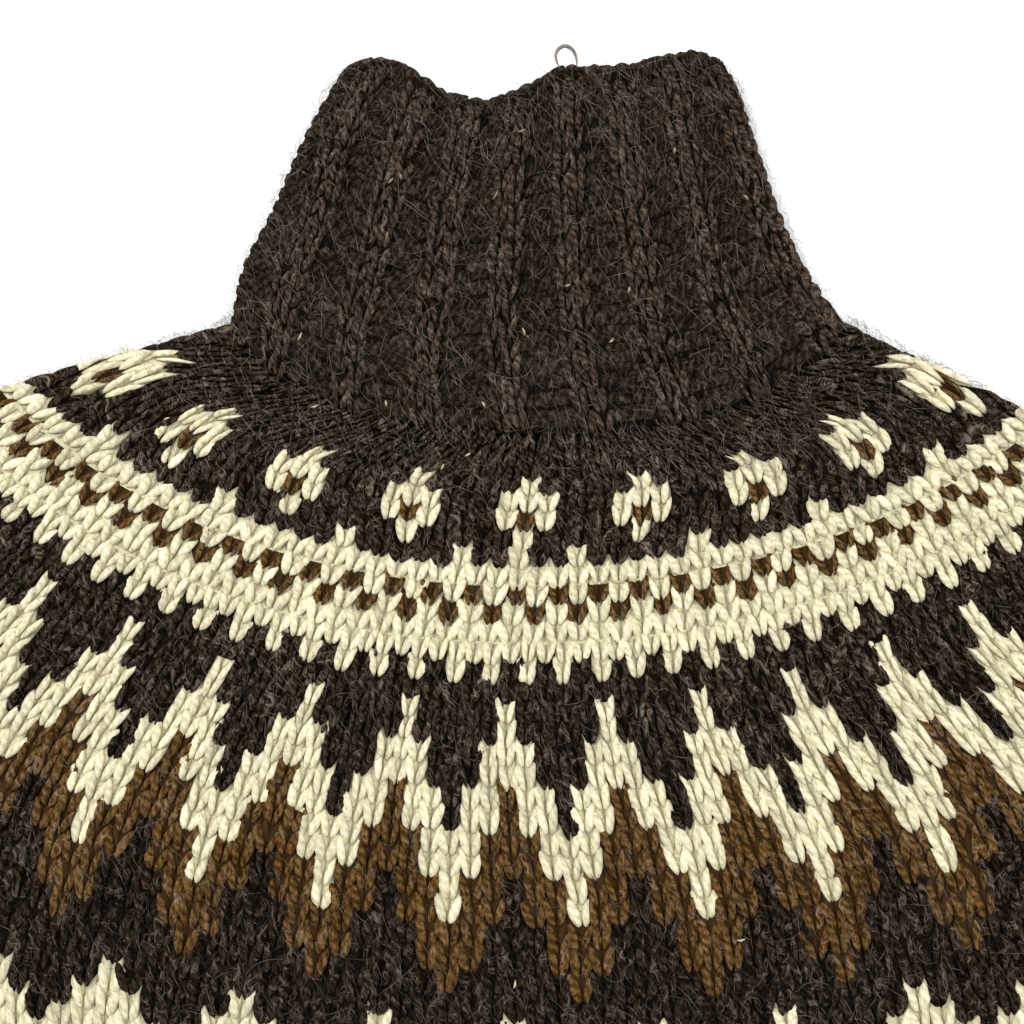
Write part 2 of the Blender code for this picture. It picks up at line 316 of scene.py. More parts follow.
def collar_line(row, along):
    """X and Y of places along rows of the collar, from its uneven top to the yoke."""
    up = 1 - row / COLLAR_ROUNDS
    half_width, right = smooth_table(COLLAR_SECTIONS, up)
    bunch = COLLAR_SIDE_BUNCH * (1 - up)
    x = half_width * ((1 + bunch) * along - bunch * along**3) + right
    foot_y = yoke_line(np.zeros_like(along), along)[1]
    (top_y,) = smooth_table(COLLAR_TOP, np.clip(along, -1, 1))
    return x, foot_y * (1 - up) + top_y * up


def trunk_line(sections, rounds):
    """The line of the body or of its hem, which both lie below the yoke."""

    def line(row, along):
        top, bottom = sections[0, 0], sections[-1, 0]
        depth = top + (bottom - top) * row / rounds
        half_width, curve = smooth_table(sections, depth)
        x, y = yoke_end(UNDERARM * along)
        (edge_x, _), (_, middle_y) = yoke_end([UNDERARM, 0.0]).T
        return x * half_width / edge_x, (y - middle_y) * curve - depth

    return line


def arm_line(side, sections, rounds):
    """The line of a sleeve or of its cuff."""

    def line(row, along):
        top, bottom = sections[0, 0], sections[-1, 0]
        along = side * along
        down = top + (bottom - top) * row / rounds
        half_width, bow = smooth_table(sections, down)
        place = (UNDERARM + 1) / 2 + (1 - UNDERARM) / 2 * along
        middle = yoke_end([UNDERARM, 1.0]).mean(axis=1)
        ahead = np.cos(SLEEVE_SLOPE), -np.sin(SLEEVE_SLOPE)
        beside = np.sin(SLEEVE_SLOPE), np.cos(SLEEVE_SLOPE)
        share = np.clip(down / SLEEVE_STRAIGHT, 0, 1)
        share = share * share * (3 - 2 * share)
        off = bow + half_width * along
        x, y = (
            (start + run * down) * (1 - share) + (centre + run * down + turned * off) * share
            for start, centre, run, turned in zip(yoke_end(place), middle, ahead, beside)
        )
        return side * x, y

    return line


def wrapped(turn):
    """A turn round a tube, as counted from -2 to 2."""
    return (turn + 2) % 4 - 2


def crease_height(x, y):
    """How high the soft ridges lift the front layer at each point."""
    height = np.zeros_like(x)
    for from_x, from_y, to_x, to_y, half_width, rise in CREASES:
        run = np.array([to_x - from_x, to_y - from_y])
        share = ((x - from_x) * run[0] + (y - from_y) * run[1]) / (run @ run)
        nearest = np.clip(share, 0, 1)
        off = np.hypot(x - from_x - nearest * run[0], y - from_y - nearest * run[1])
        height += rise * np.exp(-((off / half_width) ** 2))
    return np.minimum(height, CREASE_LIMIT)


class Tube:
    """One knitted tube. A row is counted down from its upper end, in rounds of stitches. A
    turn is a place round it: from -1 to 1 on the front, from the left fold to the right one,
    and on by the back from 1 to 3. A column is counted in stitches, from the front's middle
    or, on a ribbed tube, from the left fold. Zones are stretches with the same number of
    stitches: the last round of each, and its stitches across the front."""

    def __init__(self, node, line, zones, wall=WALL, ribs=0, phase=0.0, knit=(0.5, 0.5)):
        self.node = node
        self.line = line
        self.zones = zones
        self.rounds = zones[-1][0]
        self.wall = wall
        self.fold = wall + INNER_GAP / 2
        self.ribs = ribs
        self.phase = phase
        self.knit = knit
        self.chart = yarn_of if node == "yoke" else all_dark
        self.open_top = node == "collar"
        self.open_end = ribs > 0 and not self.open_top
        self.stations = np.linspace(0, self.rounds, 2 * self.rounds + 1)
        row, place = np.meshgrid(self.stations, np.linspace(-1, 1, LENGTH_STEPS), indexing="ij")
        x, y = (value.reshape(row.shape) for value in line(row.ravel(), place.ravel()))
        self.lengths = np.hypot(np.diff(x, axis=1), np.diff(y, axis=1)).sum(axis=1) / 2
        self.spans = np.hypot(x[:, -1] - x[:, 0], y[:, -1] - y[:, 0])

    def half_length(self, row):
        """Half the length of the front's line."""
        return np.interp(row, self.stations, self.lengths)

    def stitches(self, row):
        """Stitches across the front in each round. In a tube of one zone they keep their
        width, and run into the folds where the tube narrows."""
        ends, counts = np.array(self.zones).T
        if len(ends) == 1:
            return counts[0] * np.interp(row, self.stations, self.spans / self.spans[0])
        return counts[np.searchsorted(ends, row).clip(0, len(ends) - 1)]

    def turn(self, column, row, stitches):
        """The turn of a column in a row. Ribs draw their purl stitches together."""
        if not self.ribs:
            return 2 * column / stitches
        knit = np.interp(row, (0, self.rounds), self.knit)
        rib, step = np.divmod(column, RIB_REPEAT)
        half = RIB_REPEAT / 2
        within = np.where(step < half, step * knit, half * knit + (step - half) * (1 - knit))
        first = 2 * (0.5 + self.phase) / self.ribs - 1 - knit / self.ribs
        return first + (rib + within / half) * 2 / self.ribs

    def moved(self, row, turn, by_x, by_y):
        """Rows and turns moved over the front by millimetres along X and Y."""
        near = np.clip(turn, -NEAR_FOLD, NEAR_FOLD)
        here, below, beside = (
            self.points(row + down, near + right)[..., :2]
            for down, right in ((0, 0), (ROW_STEP, 0), (0, TURN_STEP))
        )
        row_x, row_y = np.moveaxis((below - here) / ROW_STEP, -1, 0)
        turn_x, turn_y = np.moveaxis((beside - here) / TURN_STEP, -1, 0)
        area = row_x * turn_y - turn_x * row_y
        down = (turn_y * by_x - turn_x * by_y) / area
        return row + down, turn + (row_x * by_y - row_y * by_x) / area

    def drift(self, row, turn, number):
        """Where parts of the stitches of some rounds come to lie that would be at even rows
        and turns."""
        if self.node != "yoke":
            return row, turn
        row, turn = np.broadcast_arrays(row, wrapped(turn))
        height = (np.clip(row, *DRIFT_RANGE) - DRIFT_MIDDLE) / DRIFT_STEP
        shown = np.interp(row, (0, DRIFT_RANGE[0], DRIFT_RANGE[1], self.rounds - 1), (0, 1, 1, 0))
        shown = shown * np.clip(2 - np.abs(turn), 0, 1)
        place = np.clip(turn, -1, 1)
        down = np.polynomial.polynomial.polyval2d(height, place, DRIFT_OF_ROW)
        over = np.polynomial.polynomial.polyval2d(height, place, DRIFT_OF_TURN)
        lean = np.clip(row - UPRIGHT_MIDDLE, -UPRIGHT_REACH, UPRIGHT_REACH)
        lean = lean * (number <= self.zones[0][0])
        over = over - UPRIGHT * place * (1 - place**2) * lean
        return row + shown * np.maximum(down, DRIFT_UP), turn + shown * over

    def rise(self, row):
        """How far the stitches rise near the yoke's upper end."""
        return STEP_AT_COLLAR * np.exp(-np.maximum(row, 0) / STEP_ROUNDS) * (self.node == "yoke")

    def past_fold(self, row, turn):
        """0 on the front, 1 on the back, and between them round a fold."""
        turn = wrapped(turn)
        flat = 1 - self.fold / self.half_length(row)
        return np.clip((np.abs(turn) - flat) / (2 * (1 - flat)), 0, 1)

    def points(self, row, turn, lift=0.0):
        """Points over rows and turns, lifted off the tube's outer surface."""
        turn = wrapped(turn)
        place = np.where(np.abs(turn) <= 1, turn, np.sign(turn) * 2 - turn)
        length = self.half_length(row)
        flat = 1 - self.fold / length
        angle = np.pi * (0.5 - self.past_fold(row, turn))
        radius = self.fold + lift
        reach = np.minimum(np.abs(place), flat) + radius * np.cos(angle) / length
        x, y = self.line(row, np.sign(place) * reach)
        front = np.clip(np.sin(angle), 0, 1)
        along = np.clip(place / flat, -1, 1)
        z = self.fold + radius * np.sin(angle)
        z += (SWELL * (1 - along**2) + crease_height(x, y)) * front**2
        if self.ribs:
            turns = (along + 1) / 2 * self.ribs - self.phase
            z += RIB_RISE * (0.5 - 0.5 * np.cos(2 * np.pi * turns)) ** RIB_ROUNDNESS * front
        return np.stack([x, y, z], axis=-1)


def placed(points):
    """Points of the garment, in millimetres, in the shared frame. The hem's solid is as
    wide on either side of the garment's middle, and ends at its lower edge."""
    low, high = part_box("hem_rib")
    shift = np.array([(low[0] + high[0]) / 2, low[1] + HEM_SECTIONS[-1, 0] * MM, 0.0])
    return points * MM + shift


# ---- The chart ----
def yarn_of(row, column):
    """The wool of each stitch of the yoke. Motifs repeat every six stitches, and "off" is
    how many stitches a column lies off the middle of its motif."""
    off = np.abs((column + REPEAT // 2) % REPEAT - REPEAT // 2)
    odd = column % 2 == 1
    cream = (
        np.isin(row, (4, 7)) & (off == 0)
        | (row == 5) & (off <= 1)
        | (row == 6) & (off == 1)
        | (row == 8) & ((off == 3) | (column == 0))
        | np.isin(row, (10, 14, 35, 37)) & odd
        | (row == 11) & ~odd
        | np.isin(row, (9, 12, 13, 36))
        | (row >= 16 + 2 * off) & (row <= 19 + 2 * off)
        | (row >= 30) & (row <= 34) & (off <= row - 30)
    )
    brown = (
        (row == 6) & (off == 0)
        | np.isin(row, (10, 35)) & ~odd
        | (row == 11) & odd
        | (row >= 20 + 2 * off) & (row <= 23 + 2 * off) & (row <= 28)
    )
    return np.where(cream, CREAM, np.where(brown, BROWN, DARK))


def all_dark(row, column):
    return np.full(np.shape(row), DARK)


def tubes():
    """Every knitted tube, by the name of its solid."""
    collar_zone = ((COLLAR_ROUNDS, COLLAR_RIBS * RIB_REPEAT),)
    hem_zone = ((HEM_ROUNDS, HEM_RIBS * RIB_REPEAT),)
    cuff_zone = ((CUFF_ROUNDS, CUFF_RIBS * RIB_REPEAT),)
    last_stitches = YOKE_ZONES[-1][1]
    body_zone = ((BODY_ROUNDS, round(last_stitches * UNDERARM)),)
    sleeve_zone = ((SLEEVE_ROUNDS, round(last_stitches * (1 - UNDERARM) / 2)),)
    made = [
        Tube("collar", collar_line, collar_zone, RIB_WALL, COLLAR_RIBS, COLLAR_RIB_PHASE, (0.58, 0.38)),
        Tube("yoke", yoke_line, YOKE_ZONES),
        Tube("body", trunk_line(BODY_SECTIONS, BODY_ROUNDS), body_zone),
        Tube("hem_rib", trunk_line(HEM_SECTIONS, HEM_ROUNDS), hem_zone, RIB_WALL, HEM_RIBS),
    ]
    for name, side in (("left", -1), ("right", 1)):
        sleeve = arm_line(side, SLEEVE_SECTIONS, SLEEVE_ROUNDS)
        cuff = arm_line(side, CUFF_SECTIONS, CUFF_ROUNDS)
        made.append(Tube(f"sleeve_{name}", sleeve, sleeve_zone))
        made.append(Tube(f"cuff_{name}", cuff, cuff_zone, RIB_WALL, CUFF_RIBS))
    return {tube.node: tube for tube in made}


# ---- Wool ----
class Finish:
    """A material in the making. A socket takes a number, a colour or another node's output."""

    def __init__(self, name):
        self.material = bpy.data.materials.new(name)
        self.material.use_nodes = True
        self.tree = self.material.node_tree
        self.shader = self.tree.nodes["Principled BSDF"]

    def fill(self, node, sockets):
        for socket, value in sockets.items():
            if isinstance(value, bpy.types.NodeSocket):
                self.tree.links.new(value, node.inputs[socket])
            else:
                node.inputs[socket].default_value = value
        return node

    def add(self, kind, sockets, **settings):
        node = self.tree.nodes.new(f"ShaderNode{kind}")
        for setting, value in settings.items():
            setattr(node, setting, value)
        return self.fill(node, sockets)

    def math(self, operation, *values):
        return self.add("Math", dict(enumerate(values)), operation=operation).outputs[0]

    def ramp(self, value, stops):
        node = self.add("ValToRGB", {"Fac": value})
        band = node.color_ramp
        while len(band.elements) < len(stops):
            band.elements.new(0.5)
        for element, (place, colour) in zip(band.elements, stops):
            element.position = place
            element.color = (*colour, 1.0)
        return node.outputs["Color"]

    def mix(self, share, one, other, blend="MIX"):
        """Mixes two colours, with the sockets that a Mix node keeps for colours."""
        sockets = {"Factor": share, 6: one, 7: other}
        return self.add("Mix", sockets, data_type="RGBA", blend_type=blend).outputs[2]

    def place(self):
        return self.add("TexCoord", {}).outputs["Object"]

    def noise(self, place, scale, detail, output="Fac", **sockets):
        looks = {"Vector": place, "Scale": scale, "Detail": detail, **sockets}
        return self.add("TexNoise", looks).outputs[output]

    def bumped(self, height, strength, distance):
        bump = self.add("Bump", {"Height": height, "Strength": strength, "Distance": distance})
        return bump.outputs["Normal"]

    def woolly(self, colour, normal, roughness=0.95, specular=0.02):
        looks = {"Base Color": colour, "Roughness": roughness, "Specular IOR Level": specular}
        self.fill(self.shader, looks if normal is None else {**looks, "Normal": normal})
        return self.material


STRANDS_ROUND = 9.0  # fine fibres seen across a strand of wool
STRANDS_ALONG = 1.6  # how often they change along it
PLIES_ROUND = 2.0  # the plies of a strand, as lines round it
PLIES_ALONG = 3.0  # and how often they twist past along it
TONE_STOPS = (0.3, 0.5, 0.7)  # where the deep, the main and the light tone of a wool lie

# The nap: ways of the hairs on the cloth in degrees from the way up to the left, the width
# and the length of a lock in metres, and how strongly it shows
NAP_LAYERS = (
    (28.0, 0.0018, 0.0150, 1.0),
    (6.0, 0.0019, 0.0120, 0.9),
    (55.0, 0.0021, 0.0130, 0.8),
    (-35.0, 0.0024, 0.0110, 0.7),
)
LOCK_DEPTH = 0.02
NAP_BEND = (0.010, 0.010, 0.0)  # how far a slow noise bends the locks, in metres
HAIR_LINE = 0.018  # how near a noise comes to its middle where a hair shows

# Of each wool of strands: its deep, main and light tone, the colour of its hairs, how
# strongly they show, and the height of its relief in metres
WOOLS = {
    "cream": (
        ((0.58, 0.51, 0.30), (0.80, 0.73, 0.49), (0.92, 0.87, 0.66)),
        (0.92, 0.87, 0.68), 0.5, 0.0006,
    ),
    "brown": (
        ((0.016, 0.006, 0.001), (0.088, 0.042, 0.0095), (0.21, 0.12, 0.037)),
        (0.30, 0.21, 0.13), 0.75, 0.0009,
    ),
    "dark": (
        ((0.003, 0.002, 0.0012), (0.012, 0.0075, 0.0045), (0.055, 0.037, 0.025)),
        (0.190, 0.150, 0.118), 0.75, 0.0012,
    ),
    "collar": (
        ((0.004, 0.003, 0.002), (0.028, 0.0180, 0.0122), (0.098, 0.068, 0.050)),
        (0.240, 0.190, 0.152), 0.6, 0.0014,
    ),
}
BACK_HAIR = (0.060, 0.046, 0.036)
PALE_HAIR = (0.155, 0.125, 0.100)


def nap(wool, place):
    """Thin pale lines of hair that lie over the wool in a few ways, 0 to 1."""
    bend = wool.noise(place, 130.0, 1.0, "Color")
    bent = wool.add("VectorMath", {0: bend, 1: NAP_BEND}, operation="MULTIPLY").outputs[0]
    moved = wool.add("VectorMath", {0: place, 1: bent}, operation="ADD").outputs[0]
    shown = None
    for way, width, length, strength in NAP_LAYERS:
        lock = {"Rotation": (0.0, 0.0, np.radians(way)), "Scale": (width, length, LOCK_DEPTH)}
        turned = wool.add("Mapping", {"Vector": moved, **lock}, vector_type="TEXTURE").outputs[0]
        lock = wool.noise(turned, 1.0, 0.0)
        off = wool.math("ABSOLUTE", wool.math("SUBTRACT", lock, 0.5))
        near = {"From Min": HAIR_LINE, "From Max": 0.0, "To Max": strength}
        line = wool.add("MapRange", {"Value": off, **near}).outputs[0]
        shown = line if shown is None else wool.math("MAXIMUM", shown, line)
    return shown


def strand_wool(name, tones, hair, hairy, relief):
    """Wool as spun: plies that twist round the strand, and fibres along it, in tones from
    deep to light, and a mottle of fuzz, under a nap of hairs. A stitch has a tone of its own,
    which also carries painted shade where strands go under and in rib furrows, and painted light on rib
    ridges."""
    wool = Finish(name)
    strand = wool.add("UVMap", {}, uv_map="strand").outputs["UV"]
    stretched = wool.add("Mapping", {"Vector": strand, "Scale": (STRANDS_ROUND, STRANDS_ALONG, 1.0)})
    fibres = wool.noise(stretched.outputs[0], 1.0, 3.0, Roughness=0.62)
    place = wool.place()
    mottle = wool.noise(place, 700.0, 3.0)
    parts = wool.add("SeparateXYZ", {"Vector": strand}).outputs
    uneven = wool.math("MULTIPLY", fibres, 0.3)
    twist = wool.math("MULTIPLY_ADD", parts["Y"], PLIES_ALONG, uneven)
    turned = wool.math("MULTIPLY_ADD", parts["X"], PLIES_ROUND, twist)
    plies = wool.math("SINE", wool.math("MULTIPLY", turned, 2 * np.pi))
    spun = wool.math("MULTIPLY_ADD", fibres, 0.65, wool.math("MULTIPLY", mottle, 0.35))
    mixed = wool.math("MULTIPLY_ADD", plies, 0.09, spun)
    colour = wool.ramp(mixed, tuple(zip(TONE_STOPS, tones)))
    tone = wool.add("Attribute", {}, attribute_name="tone").outputs["Color"]
    streaks = nap(wool, place)
    haired = wool.mix(wool.math("MULTIPLY", streaks, hairy), colour, (*hair, 1.0))
    height = wool.math("MULTIPLY_ADD", streaks, 0.2, mixed)
    return wool.woolly(wool.mix(1.0, haired, tone, "MULTIPLY"), wool.bumped(height, 1.0, relief))


def backing_wool():
    """The cloth behind the stitches, and the flattened stitches of the underside."""
    wool = Finish("backing_wool")
    yarn = wool.add("Attribute", {}, attribute_name="yarn").outputs["Color"]
    spot = wool.add("UVMap", {}, uv_map="stitches").outputs["UV"]
    parts = wool.add("SeparateXYZ", {"Vector": spot})
    off = wool.math("PINGPONG", parts.outputs["X"], 0.5)
    down = wool.math("FRACT", wool.math("MULTIPLY_ADD", off, 2 * CHEVRON, parts.outputs["Y"]))
    across = wool.math("SINE", wool.math("MULTIPLY", off, 2 * np.pi))
    along = wool.math("SINE", wool.math("MULTIPLY", down, np.pi))
    leg = wool.math("POWER", wool.math("ABSOLUTE", wool.math("MULTIPLY", across, along)), 0.5)
    place = wool.place()
    fuzz = wool.noise(place, 900.0, 3.0)
    shade = wool.ramp(
        wool.math("MULTIPLY", leg, wool.math("ADD", fuzz, 0.4)),
        ((0.1, (0.5, 0.5, 0.5)), (0.8, (1.0, 1.0, 1.0))),
    )
    height = wool.math("ADD", leg, wool.math("MULTIPLY", fuzz, 0.3))
    streaks = wool.math("MULTIPLY", nap(wool, place), 0.6)
    haired = wool.mix(streaks, wool.mix(1.0, yarn, shade, "MULTIPLY"), (*BACK_HAIR, 1.0))
    return wool.woolly(haired, wool.bumped(height, 0.8, 0.0012))


def hair_wool(name, colour):
    """Single hairs that stand off the cloth."""
    wool = Finish(name)
    patches = wool.noise(wool.place(), 260.0, 1.0)
    paler = tuple(min(1.0, 1.7 * part) for part in colour)
    darker = tuple(0.5 * part for part in colour)
    return wool.woolly(wool.ramp(patches, ((0.35, darker), (0.65, paler))), None, 0.6, 0.3)


# ---- Making pieces ----
def new_object(name, data, place=(0, 0, 0)):
    """A new object in the scene."""
    item = bpy.data.objects.new(name, data)
    item.location = place
    bpy.context.scene.collection.objects.link(item)
    return item


def rides(name, mesh, material, *nodes):
    """A piece that rides on the sweater's one body, and has its place in its mesh."""
    mesh.shade_smooth()
    mesh.materials.append(material)
    piece = new_object(name, mesh)
    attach(piece, "root")
    if nodes:
        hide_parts(*nodes)
    return piece


class Grain:
    """A small closed shape with a pole at either end, from which many copies are made. Its
    points lie across, along and up, from -1 to 1. Their share is the angle from the pole at
    its far end, as a share of a half turn."""

    def __init__(self, sides, rings):
        bm = bmesh.new()
        bmesh.ops.create_uvsphere(bm, u_segments=sides, v_segments=rings + 1, radius=1.0)
        turn = Matrix.Rotation(-np.pi / 2, 3, "X")
        bmesh.ops.rotate(bm, verts=bm.verts, matrix=turn)
        bm.verts.index_update()
        self.across, self.along, self.up = np.array([vert.co for vert in bm.verts]).T
        self.share = np.arccos(np.clip(self.along, -1, 1)) / np.pi
        self.corners = np.array([corner.vert.index for face in bm.faces for corner in face.loops])
        self.sizes = np.array([len(face.verts) for face in bm.faces])
        self.starts = np.cumsum(self.sizes) - self.sizes
        self.strand = np.array([spot for face in bm.faces for spot in self.round_strand(face)])
        bm.free()

    @staticmethod
    def round_strand(face):
        """How far round the grain and along it each corner of a face lies, from a seam that
        runs along its underside."""
        middle = face.calc_center_median()
        centre = np.arctan2(middle.x, middle.z) / (2 * np.pi)
        spots = []
        for vert in face.verts:
            angle = np.arctan2(vert.co.x, vert.co.z) / (2 * np.pi)
            at_pole = np.hypot(vert.co.x, vert.co.z) < 1e-4
            near = centre if at_pole else angle + round(centre - angle)
            spots.append((near, vert.co.y / 2))
        return spots


# From the finest to the plainest, as sides round a grain and rings along it
LONG, SMOOTH, FINE, SMALL, PLAIN, THIN = (
    Grain(*size) for size in ((8, 30), (6, 6), (5, 5), (5, 4), (4, 3), (3, 4))
)


def copies(name, grain, points, material, tone=None, seed=0):
    """One mesh of many copies of a grain, from the points of each copy."""
    count, size = points.shape[:2]
    rng = np.random.default_rng(seed)
    mesh = bpy.data.meshes.new(name)
    mesh.vertices.add(count * size)
    mesh.vertices.foreach_set("co", placed(points).astype(np.float32).ravel())
    each = np.arange(count)[:, None]
    mesh.loops.add(count * len(grain.corners))
    mesh.loops.foreach_set("vertex_index", (grain.corners + size * each).astype(np.int32).ravel())
    mesh.polygons.add(count * len(grain.sizes))
    starts = grain.starts + len(grain.corners) * each
    mesh.polygons.foreach_set("loop_start", starts.astype(np.int32).ravel())
    mesh.update(calc_edges=True)
    if tone is not None:
        shades = mesh.attributes.new("tone", "FLOAT_COLOR", "POINT")
        values = np.repeat(tone.reshape(-1, 1), 4, axis=1).astype(np.float32)
        shades.data.foreach_set("color", values.ravel())
        strand = mesh.uv_layers.new(name="strand")
        shift = rng.uniform(0, 40, (count, 1, 2))
        strand.data.foreach_set("uv", (grain.strand + shift).astype(np.float32).ravel())
    return rides(name, mesh, material)


class Loft:
    """Rings of points joined into a skin, with the wool of each face and its place in the
    knitting."""

    def __init__(self):
        self.bm = bmesh.new()
        self.yarn = self.bm.loops.layers.float_color.new("yarn")
        self.spot = self.bm.loops.layers.uv.new("stitches")

    def start(self, points):
        """Begins with a ring on its own. Gives its vertices and edges."""
        verts = [self.bm.verts.new(point) for point in points]
        return verts, [self.bm.edges.new(pair) for pair in zip(verts, verts[1:] + verts[:1])]

    def draw(self, ring, points, colours=None, columns=None, rows=None):
        """Extrudes a ring to new points, and paints the faces if it is given their looks."""
        verts, edges = ring
        drawn = set(bmesh.ops.extrude_edge_only(self.bm, edges=edges)["geom"])
        fresh = []
        for vert, point in zip(verts, points):
            rail = next(edge for edge in vert.link_edges if edge.other_vert(vert) in drawn)
            fresh.append(rail.other_vert(vert))
            fresh[-1].co = point
        loop = [self.bm.edges.get(pair) for pair in zip(fresh, fresh[1:] + fresh[:1])]
        if colours is not None:
            for i, edge in enumerate(edges):
                face = next(face for face in edge.link_faces if face in drawn)
                for corner in face.loops:
                    after = corner.vert not in (verts[i], fresh[i])
                    below = corner.vert in fresh
                    place = (i + after) % len(verts)
                    corner[self.yarn] = colours[i]
                    corner[self.spot].uv = (columns[i] + 0.5 * after, rows[int(below)][place])
        return fresh, loop

    def bridge(self, one, other, colour):
        """Joins two rings, whose vertices may differ in number."""
        faces = bmesh.ops.bridge_loops(self.bm, edges=one[1] + other[1])["faces"]
        for face in faces:
            for corner in face.loops:
                corner[self.yarn] = colour
                corner[self.spot].uv = STRAND_MIDDLE

    def piece(self, name, material, node):
        bmesh.ops.recalc_face_normals(self.bm, faces=self.bm.faces)
        mesh = bpy.data.meshes.new(name)
        self.bm.to_mesh(mesh)
        self.bm.free()
        return rides(name, mesh, material, node)


def shell(tube, material):
    """The cloth of one tube, closed at its edges, with the chart's wools on either side, and painted
    shade on the front where it shows between the stitches.
    """
    loft = Loft()
    turns = np.arange(INNER_COLUMNS) * 4 / INNER_COLUMNS - 2
    levels = np.linspace(tube.rounds, 0, INNER_ROWS + 1)
    walls = [placed(tube.points(np.full(INNER_COLUMNS, row), turns, -tube.wall)) for row in levels]
    inner_top = loft.start(walls[-1])
    ring, above = inner_top, None
    plain = (*UNDER_YARN[DARK], 1.0)
    first = 0
    for last, across in tube.zones:
        columns = np.arange(4 * across) / 2 - across
        side = 0.0 if tube.ribs else np.where(np.arange(4 * across) % 2 == 1, CHEVRON, 0.0)
        end = last if last == tube.rounds else last - ZONE_STRIP
        for number in range(first, last + 1):
            rows = number - side if first < number < last else np.where(number == first, first, end)
            rows = rows + np.zeros(len(columns))
            turn = tube.turn(columns, rows, across)
            level, turn = tube.drift(rows, turn, last)
            sink = SHELL_SINK * (1 - tube.past_fold(level, turn))
            points = placed(tube.points(level, turn, -sink))
            if number > first:
                stitch = np.floor(columns + 0.75).astype(int)
                yarn = tube.chart(np.full(len(columns), number), stitch)
                under = np.abs(wrapped(turn)) > 1
                # painted shade: front faces, seen between the stitches, take darker colours than the
                # underside's
                tints = np.where(under[:, None], UNDER_YARN[yarn], SHADED_GAP_YARN[yarn])
                colours = np.column_stack([tints, np.ones(len(tints))])
                ring = loft.draw(ring, points, colours, columns, (above, rows))
            elif first == 0 and tube.open_top:
                rim = loft.start(placed(tube.points(rows - RIM_BULGE, turn, -tube.wall / 2)))
                loft.bridge(ring, rim, plain)
                ring = loft.draw(rim, points, np.tile(plain, (len(columns), 1)), columns, (rows, rows))
            else:
                fresh = loft.start(points)
                repeat = tube.chart(np.full(REPEAT, max(first, 1)), np.arange(REPEAT))
                usual = np.bincount(repeat).argmax()
                # the strip between zones takes the painted shade of the gaps
                loft.bridge(ring, fresh, (*SHADED_GAP_YARN[usual], 1.0))
                ring = fresh
            above = rows
        first = last
    if tube.open_end:
        ring = loft.draw(ring, placed(tube.points(above + RIM_BULGE, turn, -tube.wall / 2)))
    inner = loft.start(walls[0])
    loft.bridge(ring, inner, plain)
    for wall in walls[1:-1]:
        inner = loft.draw(inner, wall)
    loft.bridge(inner, inner_top, plain)
    return loft.piece(f"{tube.node}_cloth", material, tube.node)


# ---- Stitches ----
ALL_COLUMNS = np.arange(-60, 151)  # more than any tube has on its front


def front_stitches(tube, purl=False):
    """The round and the column of every stitch that shows from above."""
    rounds, columns = [], []
    for number in range(1, tube.rounds + 1):
        across = tube.stitches(number)
        reach = 1 + PAST_FOLD * tube.fold / tube.half_length(number)
        column = ALL_COLUMNS + (0.5 if tube.ribs else 0.0)
        shown = np.abs(tube.turn(column, number, across)) <= reach
        if tube.ribs:
            shown &= (column % RIB_REPEAT >= RIB_REPEAT / 2) == purl
        columns.append(column[shown])
        rounds.append(np.full(shown.sum(), number))
    return np.concatenate(rounds), np.concatenate(columns)


def waver(row, column, seed):
    """A slow wandering of the stitches, from -1 to 1."""
    return sum(np.sin(a * row + b * column + c * seed) for a, b, c in WAVES) / 3


def settle(points):
    """Keeps points that reach the floor round a fold just above it."""
    low = points[..., 2] < FLOOR_GAP
    points[..., 2] = np.where(low, FLOOR_GAP * np.exp(points[..., 2] / FLOOR_GAP - 1), points[..., 2])
    return points


def raised(tube, row, turn, lift, least=FOLD_FADE):
    """Points over a tube at heights that fade towards its underside."""
    fade = np.maximum(1 - tube.past_fold(row, turn), least)
    return settle(tube.points(row, turn, lift * fade))


def both(values):
    """Values of stitches, for both strands of each."""
    return np.tile(values, 2)[:, None]


def legs(tube, grain, number, column, kind, seed):
    """Both strands of each stitch. They part at its point, reach up beside it with a slight
    bow, and dip under the stitches of the round above. Gives points, and a tone for each."""
    rng = np.random.default_rng(seed)
    count = len(number)

    def loose(what, each_leg=True):
        size = LEG_LOOSE[what] * LOOSE_BY[kind]
        return rng.normal(0, size, (2 * count, 1)) if each_leg else both(rng.normal(0, size, count))

    plump = both(np.where((kind == BROWN) & (number < ZIGZAG_TOP), SMALL_STITCH, 1.0))
    number, column = both(number), both(column)
    side = np.repeat((-1.0, 1.0), count)[:, None]
    share = 0.5 * (1 - grain.share) + 0.25 * (1 + grain.along)
    wide = LEG_HALF_WIDTH[kind] * plump * (1 + loose("width")) * (1 - LEG_TAPER * share)
    across = column + WANDER * waver(number, column, seed) + loose("place", False)
    across = across + side * (LEG_FOOT + LEG_SPREAD * share) + grain.across * wide
    across = across + loose("tip") * share
    room = number + (COLLAR_ROOM if tube.open_top else SEAM_ROOM)
    reach = np.minimum(LEG_REACH * (1 + loose("reach")), room)
    row = number + WANDER * waver(column, number, seed + 1) + loose("row", False)
    row = row + LEG_DROP - reach * share + side * grain.across * LEG_SLANT * (1 - share)
    turn = tube.turn(across, number, tube.stitches(number))
    row, turn = tube.drift(row, turn, number)
    bow = np.interp(share, *LEG_BOW)
    if tube.node == "yoke":
        bow = np.where(number == 1, np.maximum(bow, FIRST_FOOT + FIRST_RISE * share), bow)
    lift = bow + tube.rise(row) + loose("lift", False) + LEG_THICKNESS * plump * grain.up
    tone = (1 + loose("tone")) * np.interp(share, *LEG_SHADE)
    return raised(tube, row, turn, lift), tone


